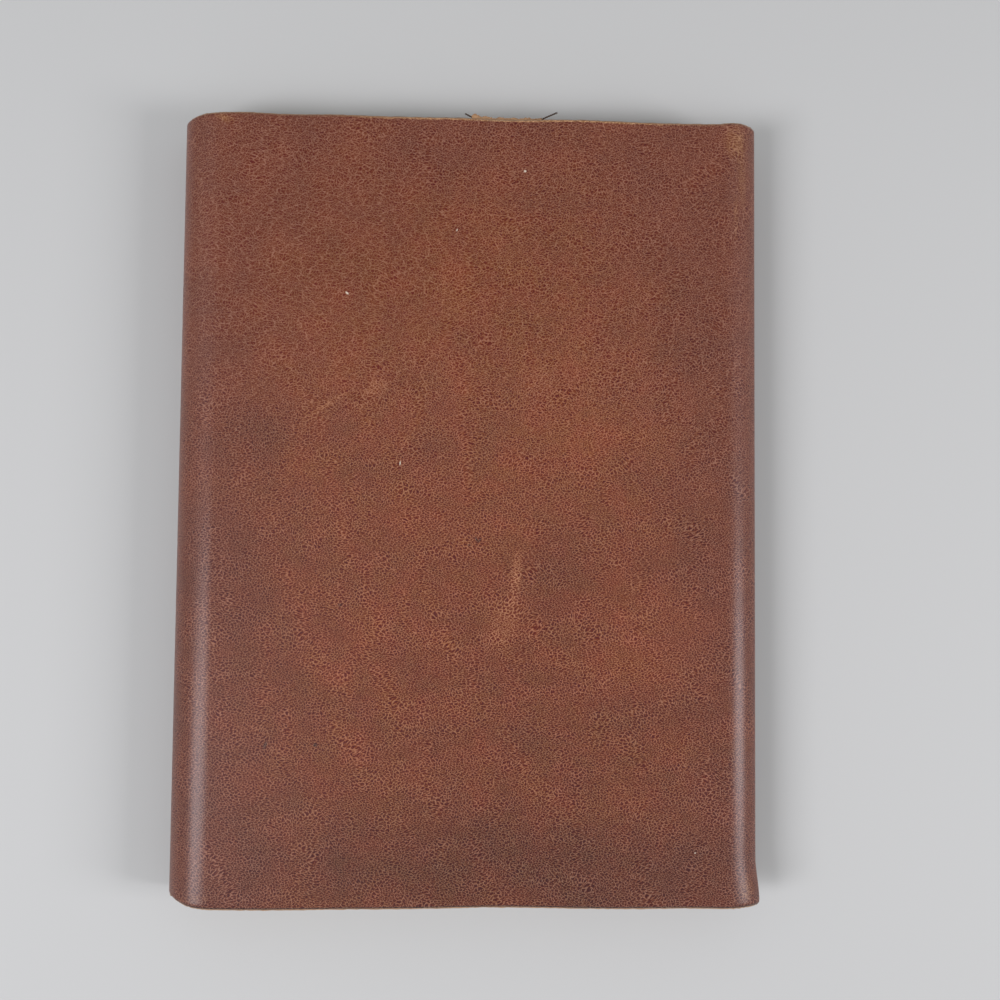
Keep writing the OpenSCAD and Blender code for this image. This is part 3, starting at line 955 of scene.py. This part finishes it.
def grain_leather():
    """The outer face of the hide: dyed, waxed and worn."""
    material, tree, shader = new_material("waxed_pull_up_leather")
    place = hide_map(tree)
    up = put(tree, "ShaderNodeSeparateXYZ", {0: place}).outputs[1]
    flow = put(tree, "ShaderNodeTexNoise", {"Vector": place, "Scale": 1 / FLOW_MM, "Detail": 2.0},
               noise_dimensions="2D").outputs["Color"]
    flow = put(tree, "ShaderNodeVectorMath", {0: flow, 1: (0.5, 0.5, 0.5)}, operation="SUBTRACT")
    bent = put(tree, "ShaderNodeVectorMath", {0: flow, 1: (FLOW_BEND_MM, FLOW_BEND_MM, 0), 2: place},
               operation="MULTIPLY_ADD")
    relief = pebbles(tree, bent)
    # Stronger towards the tail and weaker at the upper left: the grain's bump, and with it the painted glint
    # and pore shade, as if the lamps at the tail raked the grain.
    grain_and_glint_strength = put(tree, "ShaderNodeMapRange", {"Value": up, "From Min": 70.0, "From Max": -60.0, "To Min": 0.8,
                                              "To Max": 1.45}, interpolation_type="SMOOTHSTEP")
    smooth = put(tree, "ShaderNodeMapRange", {"Value": spots(tree, place, SMOOTH_PATCHES), "To Min": 1.0,
                                              "To Max": 0.7})
    grain_and_glint_strength = put(tree, "ShaderNodeMath", {0: grain_and_glint_strength, 1: smooth}, operation="MULTIPLY")
    cloud = put(tree, "ShaderNodeTexNoise", {"Vector": place, "Scale": 1 / CLOUD_MM, "Detail": 3.0,
                                             "Roughness": 0.55}, noise_dimensions="2D")
    dye = mottled_dye(tree, place, panel_map(tree), cloud)
    dye, rubbed = worn_dye(tree, place, dye)
    dye = cut_end_dye_and_shade(tree, place, up, dye)
    tone = put(tree, "ShaderNodeMapRange", {"Value": relief, "From Min": RELIEF_RANGE[0],
                                            "From Max": RELIEF_RANGE[1], "To Min": -TONE_LIMIT,
                                            "To Max": TONE_LIMIT})
    # The relief's tone, with the creases as lighter lines, sets the pores' dye and painted shade and the
    # ridges' painted glint.
    grain_tone_and_glint = put(tree, "ShaderNodeMath", {0: tone, 1: grain_and_glint_strength, 2: creases(tree, bent, up)},
               operation="MULTIPLY_ADD")
    grain_tone_and_glint = put(tree, "ShaderNodeClamp", {0: grain_tone_and_glint, 1: -2.2, 2: TONE_LIMIT})
    scale = put(tree, "ShaderNodeMath", {0: grain_tone_and_glint, 1: GRAIN_TONE_AND_SHADE_DEPTH, 2: 1.0}, operation="MULTIPLY_ADD")
    colour = put(tree, "ShaderNodeVectorMath", {0: dye, "Scale": scale}, operation="SCALE")
    # Painted glint: a grey lift on the ridges, as if light caught them.
    painted_glint = put(tree, "ShaderNodeVectorMath", {0: PAINTED_GLINT_GREY, "Scale": grain_tone_and_glint}, operation="SCALE")
    colour = put(tree, "ShaderNodeVectorMath", {0: colour, 1: painted_glint}, operation="ADD")
    colour = put(tree, "ShaderNodeVectorMath", {0: colour, 1: DARKEST}, operation="MAXIMUM")
    nicked = put(tree, "ShaderNodeMapRange", {"Value": spots(tree, place, NICKS), "From Max": 0.8})
    colour = put(tree, "ShaderNodeMix", {0: nicked, 6: colour, 7: BARE_SPECK}, data_type="RGBA").outputs[2]
    tree.links.new(colour, shader.inputs["Base Color"])
    matt = put(tree, "ShaderNodeMath", {0: cloud, 1: 0.12, 2: 0.44}, operation="MULTIPLY_ADD")
    matt = put(tree, "ShaderNodeMath", {0: rubbed, 1: 0.12, 2: matt}, operation="MULTIPLY_ADD")
    tree.links.new(matt.outputs[0], shader.inputs["Roughness"])
    shader.inputs["IOR"].default_value = 1.5
    shader.inputs["Specular IOR Level"].default_value = 0.26
    shader.inputs["Coat Weight"].default_value = 0.55
    shader.inputs["Coat Roughness"].default_value = 0.31
    shader.inputs["Coat IOR"].default_value = 1.45
    bumps = put(tree, "ShaderNodeBump", {"Height": relief, "Strength": grain_and_glint_strength, "Distance": 0.07 * MM})
    tree.links.new(bumps.outputs[0], shader.inputs["Normal"])
    return material


grain_material = grain_leather()
print("grain shader has", len(grain_material.node_tree.nodes), "nodes")

# %% [markdown]
# ## The hide's other faces
# The flesh side is the undyed inside of the hide: pale, matt and short-napped. The cut edge
# shows the same core, with its fibres running along the cut.

# %% Finish the flesh side and the cut edge
NAP_MM = 0.8
FLESH_PATCH_MM = 22.0


def two_tones(tree, shader, share, low, high, height, strength, depth_mm):
    """Colours a surface between two tones by a share, and raises it by a height."""
    colour = put(tree, "ShaderNodeMix", {0: share, 6: rgb(low), 7: rgb(high)}, data_type="RGBA").outputs[2]
    tree.links.new(colour, shader.inputs["Base Color"])
    relief = put(tree, "ShaderNodeBump", {"Height": height, "Strength": strength, "Distance": depth_mm * MM})
    tree.links.new(relief.outputs[0], shader.inputs["Normal"])


def flesh_leather():
    """The inner face of the hide."""
    material, tree, shader = new_material("leather_flesh_side")
    place = hide_map(tree)
    nap = put(tree, "ShaderNodeTexNoise", {"Vector": place, "Scale": 1 / NAP_MM, "Detail": 4.0,
                                           "Roughness": 0.7}, noise_dimensions="2D")
    patch = put(tree, "ShaderNodeTexNoise", {"Vector": place, "Scale": 1 / FLESH_PATCH_MM, "Detail": 3.0},
                noise_dimensions="2D")
    mixed = put(tree, "ShaderNodeMath", {0: nap, 1: patch}, operation="ADD")
    share = put(tree, "ShaderNodeMapRange", {"Value": mixed, "From Min": 0.6, "From Max": 1.4})
    two_tones(tree, shader, share, "#8c6448", "#b08a69", nap, 0.6, 0.15)
    shader.inputs["Roughness"].default_value = 0.9
    shader.inputs["Specular IOR Level"].default_value = 0.25
    return material


def cut_leather():
    """The hide's cut edge: fibres that run along the cut."""
    material, tree, shader = new_material("leather_cut_edge")
    place = hide_map(tree)
    along = put(tree, "ShaderNodeMapping", {"Vector": place, "Scale": (0.8, 6.0, 1.0)})
    fibre = put(tree, "ShaderNodeTexNoise", {"Vector": along, "Scale": 1.0, "Detail": 4.0, "Roughness": 0.65},
                noise_dimensions="2D")
    share = put(tree, "ShaderNodeMapRange", {"Value": fibre, "From Min": 0.3, "From Max": 0.7})
    two_tones(tree, shader, share, "#8f6547", "#c9a582", fibre, 0.5, 0.1)
    shader.inputs["Roughness"].default_value = 0.85
    return material


flesh_material, cut_material = flesh_leather(), cut_leather()
for piece in (leather_front, leather_back):
    for material in (grain_material, flesh_material, cut_material):
        piece.data.materials.append(material)
print("leather pieces have", len(leather_front.data.materials), "finishes")

# %% [markdown]
# ## Card, paper, cloth, raw leather and thread
# All of these are matt fibres. A photograph of each could be wrapped round it, but a noise has
# no seams and keeps its size, so they differ in colour, in the size of the fibres and in the way
# these run. Uncoated card and paper are felted: fine, even and without a direction. The pages'
# cut edges show the sheets as long thin lines, raw leather has coarse fibres along its cut, and
# waxed thread is dark and a little less matt. Bookbinder's cloth is woven, so it has a pattern of
# its own: threads half a millimetre apart that go over and under each other.

# %% Finish the card, paper, cloth, tab and thread
def plain_fibre(name, low, high, grain_mm, roughness, relief_mm, stretch=(1, 1, 1)):
    """A matt fibrous finish in object space: card, paper, raw leather or thread."""
    material, tree, shader = new_material(name)
    place = put(tree, "ShaderNodeTexCoord").outputs["Object"]
    place = put(tree, "ShaderNodeMapping", {"Vector": place, "Scale": stretch})
    noise = put(tree, "ShaderNodeTexNoise", {"Vector": place, "Scale": 1 / (grain_mm * MM), "Detail": 4.0,
                                             "Roughness": 0.65}).outputs["Fac"]
    share = put(tree, "ShaderNodeMapRange", {"Value": noise, "From Min": 0.3, "From Max": 0.7})
    two_tones(tree, shader, share, low, high, noise, 0.5, relief_mm)
    shader.inputs["Roughness"].default_value = roughness
    shader.inputs["Specular IOR Level"].default_value = 0.3
    return material


def woven(name, low, high, thread_mm):
    """A plain weave in the piece's own map in millimetres: threads go over and under in turn."""
    material, tree, shader = new_material(name)
    place = put(tree, "ShaderNodeUVMap", uv_map="hide_mm")
    turns = put(tree, "ShaderNodeVectorMath", {0: place, "Scale": math.pi / thread_mm},
                operation="SCALE")
    waves = put(tree, "ShaderNodeVectorMath", {0: turns}, operation="SINE")
    waves = put(tree, "ShaderNodeSeparateXYZ", {0: waves}).outputs
    weave = put(tree, "ShaderNodeMath", {0: waves[0], 1: waves[1]}, operation="MULTIPLY")
    uneven = put(tree, "ShaderNodeTexNoise", {"Vector": place, "Scale": 1.1 / thread_mm, "Detail": 3.0},
                 noise_dimensions="2D")
    weave = put(tree, "ShaderNodeMath", {0: uneven, 1: 3.0, 2: weave}, operation="MULTIPLY_ADD")
    share = put(tree, "ShaderNodeMapRange", {"Value": weave, "From Min": 0.4, "From Max": 2.6})
    two_tones(tree, shader, share, low, high, weave, 0.7, 0.08)
    shader.inputs["Roughness"].default_value = 0.85
    shader.inputs["Specular IOR Level"].default_value = 0.3
    return material


card_material = plain_fibre("uncoated_card", "#35363a", "#45464a", 0.6, 0.8, 0.02)
paper_material = plain_fibre("uncoated_paper", "#e6dec9", "#f0e8d5", 0.5, 0.9, 0.02)
page_edge_material = plain_fibre("cut_paper_edges", "#bfb59d", "#f0e7d2", 0.5, 0.9, 0.04, (0.03, 0.03, 2.5))
cloth_material = woven("bookbinders_cloth", "#3c322b", "#6b5c4f", 0.5)
tab_material = plain_fibre("raw_leather", "#9c7350", "#cda27a", 0.5, 0.9, 0.15, (0.35, 1.5, 2))
thread_material = plain_fibre("waxed_thread", "#33241c", "#54402f", 0.2, 0.6, 0.03)

finishes = {front_card: (card_material, "card"), back_card: (card_material, "card"),
            cloth: (cloth_material, "cloth"),
            tab: (tab_material, "raw_leather"), thread_left: (thread_material, "thread"),
            thread_right: (thread_material, "thread")}
for piece, (material, slot) in finishes.items():
    piece.data.materials.clear()
    piece.data.materials.append(material)
    piece.data.polygons.foreach_set("material_index", [0] * len(piece.data.polygons))
pages.data.materials.append(paper_material)
pages.data.materials.append(page_edge_material)
print(len(finishes) + 1, "more pieces finished")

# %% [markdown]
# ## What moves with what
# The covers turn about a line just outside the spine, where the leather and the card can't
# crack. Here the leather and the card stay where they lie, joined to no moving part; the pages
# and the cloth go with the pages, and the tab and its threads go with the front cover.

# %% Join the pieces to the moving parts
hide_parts("front_cover")
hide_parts("back_cover")
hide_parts("front_card")
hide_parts("back_card")
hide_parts("text_block")
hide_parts("spine_cloth")
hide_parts("head_tab")
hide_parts("tab_thread_left")
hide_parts("tab_thread_right")

for piece in (leather_front, front_card):
    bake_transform(piece)
for piece in (leather_back, back_card):
    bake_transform(piece)
for piece in (pages, cloth):
    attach(piece, "pages")
for piece in (tab, thread_left, thread_right):
    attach(piece, "front_cover")
